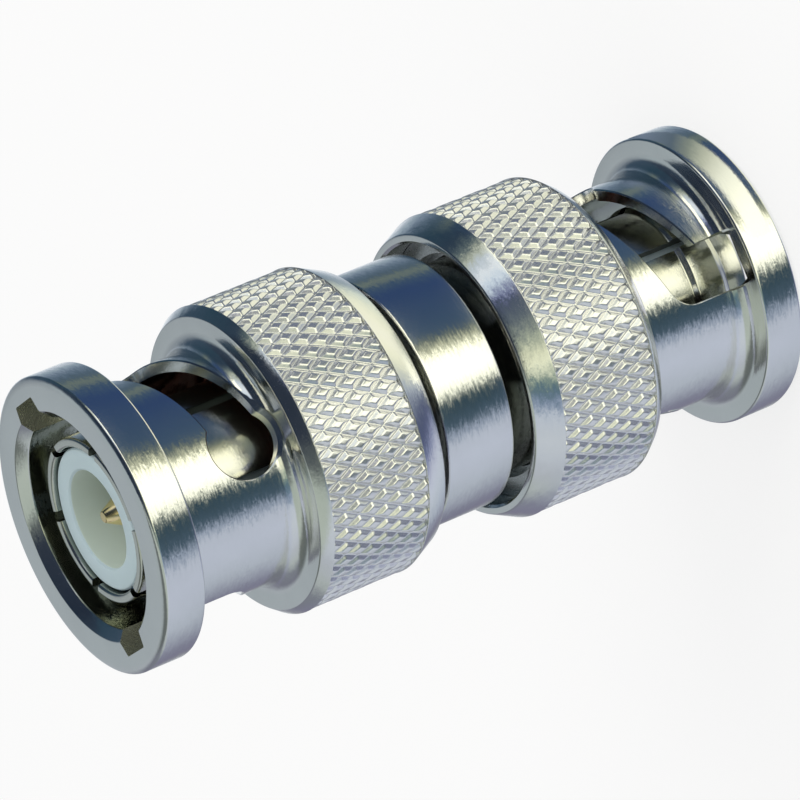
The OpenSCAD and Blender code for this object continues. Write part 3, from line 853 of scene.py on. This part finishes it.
# What the metal mirrors, as [azimuth in degrees, colour] round the object, in four rows of the sky: level
# shows in upright walls, low in the upper nut's rim, high in the lower nut's rim, crown in the chamfers. One
# row passes into the next between two heights of the direction, which run from -1 to 1. The horizon is a
# pale strip on the side that the light comes from. Its edges fade between two heights or two azimuths each
studio = {
    "low": [(-180, (0.45, 0.48, 0.62)), (-167, (0.22, 0.26, 0.42)), (-152, (0.10, 0.12, 0.22)),
            (-134, (0.08, 0.10, 0.18)), (-108, (0.17, 0.20, 0.28)), (-85, (0.42, 0.48, 0.55)),
            (-60, (0.72, 0.75, 0.62)), (-38, (0.96, 0.97, 0.74)), (-7, (1.0, 1.0, 0.82)),
            (15, (0.95, 0.96, 0.74)), (34, (0.80, 0.84, 0.68)), (45, (0.66, 0.74, 0.66)),
            (56, (0.35, 0.42, 0.46)), (66, (0.55, 0.60, 0.62)), (78, (0.95, 0.98, 1.0)),
            (98, (0.80, 0.82, 0.86)), (108, (0.32, 0.34, 0.42)), (132, (0.42, 0.48, 0.58)),
            (150, (0.52, 0.58, 0.66)), (169, (0.56, 0.61, 0.73)), (180, (0.45, 0.48, 0.62))],
    "level": [(-180, (0.50, 0.55, 0.65)), (-165, (0.52, 0.57, 0.68)), (-148, (0.50, 0.55, 0.65)),
              (-138, (0.28, 0.34, 0.44)), (-131, (0.06, 0.10, 0.14)), (-112, (0.03, 0.06, 0.08)),
              (-107, (0.30, 0.33, 0.28)), (-102, (1.20, 1.22, 1.00)), (-90, (1.55, 1.55, 1.32)),
              (-72, (1.45, 1.45, 1.12)), (-66, (0.55, 0.57, 0.40)), (-58, (0.13, 0.16, 0.14)),
              (-50, (0.05, 0.09, 0.15)), (0, (0.03, 0.06, 0.15)), (14, (0.05, 0.09, 0.15)),
              (23, (0.16, 0.20, 0.17)), (31, (0.07, 0.11, 0.15)), (42, (0.10, 0.15, 0.21)),
              (52, (0.18, 0.24, 0.32)), (62, (0.30, 0.38, 0.45)), (72, (0.52, 0.58, 0.66)),
              (82, (0.82, 0.88, 0.92)), (90, (0.80, 0.83, 0.87)), (97, (0.55, 0.58, 0.62)),
              (106, (0.26, 0.27, 0.31)), (116, (0.20, 0.20, 0.28)), (130, (0.22, 0.23, 0.31)),
              (145, (0.32, 0.35, 0.43)), (162, (0.44, 0.49, 0.57)), (180, (0.50, 0.55, 0.65))],
    "high": [(-180, (0.52, 0.57, 0.64)), (-164, (0.56, 0.61, 0.67)), (-146, (0.52, 0.58, 0.67)),
             (-137, (0.23, 0.30, 0.42)), (-127, (0.08, 0.15, 0.20)), (-119, (0.22, 0.30, 0.26)),
             (-113, (0.60, 0.65, 0.50)), (-107, (0.92, 0.95, 0.70)), (-98, (0.72, 0.75, 0.54)),
             (-90, (0.40, 0.45, 0.35)), (-82, (0.24, 0.28, 0.25)), (-70, (0.10, 0.13, 0.16)),
             (-56, (0.06, 0.08, 0.13)), (-50, (0.14, 0.16, 0.31)), (-40, (0.60, 0.71, 0.82)),
             (-30, (0.80, 0.86, 0.91)), (-21, (0.52, 0.60, 0.68)), (-13, (0.46, 0.50, 0.40)),
             (-6, (0.10, 0.14, 0.15)), (5, (0.02, 0.04, 0.07)), (30, (0.02, 0.05, 0.08)),
             (59, (0.04, 0.07, 0.11)), (70, (0.22, 0.26, 0.30)), (80, (0.30, 0.34, 0.37)),
             (90, (0.36, 0.41, 0.44)), (104, (0.38, 0.42, 0.46)), (116, (0.18, 0.19, 0.24)),
             (135, (0.20, 0.22, 0.26)), (150, (0.42, 0.47, 0.47)), (168, (0.46, 0.50, 0.56)),
             (180, (0.52, 0.57, 0.64))],
    "crown": [(-180, (0.44, 0.50, 0.45)), (-138, (0.40, 0.46, 0.41)), (-118, (0.10, 0.12, 0.12)),
              (-90, (0.02, 0.03, 0.05)), (10, (0.01, 0.02, 0.04)), (54, (0.03, 0.05, 0.08)),
              (70, (0.34, 0.40, 0.43)), (104, (0.36, 0.41, 0.43)), (120, (0.12, 0.14, 0.14)),
              (155, (0.14, 0.16, 0.15)), (172, (0.38, 0.43, 0.40)), (180, (0.44, 0.50, 0.45))],
    "levelToLow": (-0.60, -0.78), "levelToHigh": (-0.24, 0.10), "highToCrown": (0.45, 0.58),
    "horizon": (1.5, 1.5, 1.2), "horizonLow": (-0.25, -0.18), "horizonHigh": (0.14, 0.02),
    "horizonLeft": (-115, -100), "horizonRight": (-8, -26),
    "fill": 0.85,
}


def azimuthAndHeight(tree, direction):
    # The angle round the axis, in radians, and the height
    x, y, height = splitNode(tree, direction)
    return mathNode(tree, "ARCTAN2", y, x), height


def azimuthRamp(tree, azimuth, stops):
    # Colours at azimuths in degrees, for an azimuth in radians
    share = mathNode(tree, "ADD", mathNode(tree, "DIVIDE", azimuth, 2 * math.pi), 0.5)
    return rampNode(tree, share, [((degrees + 180) / 360, colour) for degrees, colour in stops])


def mirroredSky(tree):
    # The rows mixed by height, and the horizon's strip laid over them
    azimuth, height = azimuthAndHeight(tree, tree.nodes.new("ShaderNodeTexCoord").outputs["Generated"])
    sky = azimuthRamp(tree, azimuth, studio["level"])
    for row, band in (("low", "levelToLow"), ("high", "levelToHigh"), ("crown", "highToCrown")):
        share = smoothRange(tree, height, *studio[band])
        sky = mixNode(tree, share, sky, azimuthRamp(tree, azimuth, studio[row]))
    strip = mathNode(tree, "MULTIPLY", smoothRange(tree, height, *studio["horizonLow"]),
                     smoothRange(tree, height, *studio["horizonHigh"]))
    for side in ("horizonRight", "horizonLeft"):
        edges = [math.radians(degrees) for degrees in studio[side]]
        strip = mathNode(tree, "MULTIPLY", strip, smoothRange(tree, azimuth, *edges))
    return mixNode(tree, strip, sky, (*studio["horizon"], 1))


def backgroundNode(tree, colour, strength=1.0):
    # Light of a colour, times strength, from all round
    node = tree.nodes.new("ShaderNodeBackground")
    node.inputs["Strength"].default_value = strength
    feed(tree, colour, node.inputs["Color"])
    return node.outputs[0]


def makeWorld():
    # Metal mirrors the sky's rows, other surfaces get an even fill, and the camera sees plain white
    world = bpy.data.worlds.new("studioWorld")
    bpy.context.scene.world = world
    world.use_nodes = True
    tree = world.node_tree
    tree.nodes.clear()
    white = (1, 1, 1, 1)
    paths = tree.nodes.new("ShaderNodeLightPath").outputs
    lit = mixShaders(tree, paths["Is Glossy Ray"], backgroundNode(tree, white, studio["fill"]),
                     backgroundNode(tree, mirroredSky(tree)))
    seen = mathNode(tree, "MAXIMUM", paths["Is Camera Ray"], paths["Is Transmission Ray"])
    surface = mixShaders(tree, seen, lit, backgroundNode(tree, white))
    link(tree, surface, tree.nodes.new("ShaderNodeOutputWorld").inputs[0])


def bareMaterial(name):
    # A material whose node tree is empty
    material = bpy.data.materials.new(name)
    material.use_nodes = True
    material.node_tree.nodes.clear()
    return material, material.node_tree


def glowNode(tree, colour):
    # A surface that gives off the colour
    node = tree.nodes.new("ShaderNodeEmission")
    feed(tree, colour, node.inputs["Color"])
    return node.outputs[0]


floor = {"half": 900, "drop": 0.02, "grey": 0.86, "glow": 0.72}  # glow: plain white, to the camera only


def makeFloor():
    # Matte, paler to the camera, and not mirrored by the metal
    half, level = floor["half"], -floor["drop"]
    outline = ((-half, -half), (half, -half), (half, half), (-half, half))
    corners = np.array([[x, y, level] for x, y in outline])
    obj = meshObject("floor", corners, [[0, 1, 2, 3]])
    material, tree = bareMaterial("paleFloor")
    matte = tree.nodes.new("ShaderNodeBsdfDiffuse")
    matte.inputs["Color"].default_value = (floor["grey"], floor["grey"], floor["grey"], 1)
    clear = tree.nodes.new("ShaderNodeBsdfTransparent").outputs[0]
    paths = tree.nodes.new("ShaderNodeLightPath").outputs
    seen = mixShaders(tree, floor["glow"], matte.outputs[0], glowNode(tree, (1, 1, 1, 1)))
    shown = mixShaders(tree, paths["Is Camera Ray"], matte.outputs[0], seen)
    surface = mixShaders(tree, paths["Is Glossy Ray"], shown, clear)
    link(tree, surface, tree.nodes.new("ShaderNodeOutputMaterial").inputs[0])
    obj.data.materials.append(material)
    return obj


# A card of light in front of the foot, mirrored by the lower ring only. Its glow changes along its turn
card = {"inner": 7.6, "outer": 10.6, "start": -86.0, "end": 20.0, "drop": 0.01, "steps": 24,
        "glow": [(-86, (1.35, 1.35, 1.12)), (-72, (1.30, 1.30, 1.05)), (-52, (0.95, 0.97, 0.80)),
                 (-38, (0.55, 0.58, 0.46)), (-26, (0.24, 0.28, 0.24)), (-14, (0.10, 0.14, 0.18)),
                 (8, (0.16, 0.21, 0.29)), (20, (0.10, 0.14, 0.20))]}


def makeFootCard():
    # Part of a flat ring on the floor: a grid of two radii and equal steps of the angle
    turn = np.radians(np.linspace(card["start"], card["end"], card["steps"] + 1))
    radius = np.array([card["inner"], card["outer"]])[:, None]
    level = 0 * radius * turn - card["drop"]
    points = np.stack([radius * np.cos(turn), radius * np.sin(turn), level], -1)
    n = len(turn)
    obj = meshObject("footCard", points, [[k, k + 1, k + 1 + n, k + n] for k in range(card["steps"])])
    material, tree = bareMaterial("footCardGlow")
    azimuth = azimuthAndHeight(tree, tree.nodes.new("ShaderNodeTexCoord").outputs["Object"])[0]
    glow = glowNode(tree, azimuthRamp(tree, azimuth, card["glow"]))
    link(tree, glow, tree.nodes.new("ShaderNodeOutputMaterial").inputs[0])
    obj.data.materials.append(material)
    obj.visible_camera = False
    obj.visible_diffuse = False
    obj.visible_shadow = False
    return obj


# In metres and watts
softbox = {"size": 0.35, "power": 1.1, "colour": (1.0, 0.99, 0.95), "place": (0.35, -0.25, 0.42),
           "aim": (0, 0, 0.017)}


def makeSoftbox():
    # It faces the object's middle
    data = bpy.data.lights.new("keySoftbox", "AREA")
    data.size = softbox["size"]
    data.energy = softbox["power"]
    data.color = softbox["colour"]
    obj = bpy.data.objects.new("keySoftbox", data)
    bpy.context.collection.objects.link(obj)
    obj.visible_glossy = False
    obj.location = softbox["place"]
    obj.rotation_mode = "QUATERNION"
    obj.rotation_quaternion = (Vector(softbox["aim"]) - obj.location).to_track_quat("-Z", "Y")


# The photograph's view, place in metres and angles in degrees. The roll lays the adapter aslant
photoCamera = {"place": (-0.000188, -0.240271, 0.139502), "elevation": 26.928392, "roll": -112.355091,
               "lens": 272.178, "sensor": 36.0, "clip": (0.01, 10.0)}


def makeCamera():
    # Rolled about its line of sight, tilted down from level by the elevation, then moved to its place
    data = bpy.data.cameras.new("photoCamera")
    data.lens = photoCamera["lens"]
    data.sensor_width = photoCamera["sensor"]
    data.clip_start, data.clip_end = photoCamera["clip"]
    obj = bpy.data.objects.new("photoCamera", data)
    bpy.context.collection.objects.link(obj)
    tilt = Matrix.Rotation(math.radians(90 - photoCamera["elevation"]), 4, "X")
    roll = Matrix.Rotation(math.radians(photoCamera["roll"]), 4, "Z")
    obj.matrix_world = Matrix.Translation(photoCamera["place"]) @ tilt @ roll
    bpy.context.scene.camera = obj


makeWorld()
floorPiece = makeFloor()
footCard = makeFootCard()
makeSoftbox()
makeCamera()
view = bpy.context.scene.view_settings
view.view_transform = "Standard"

print("stage and camera set")
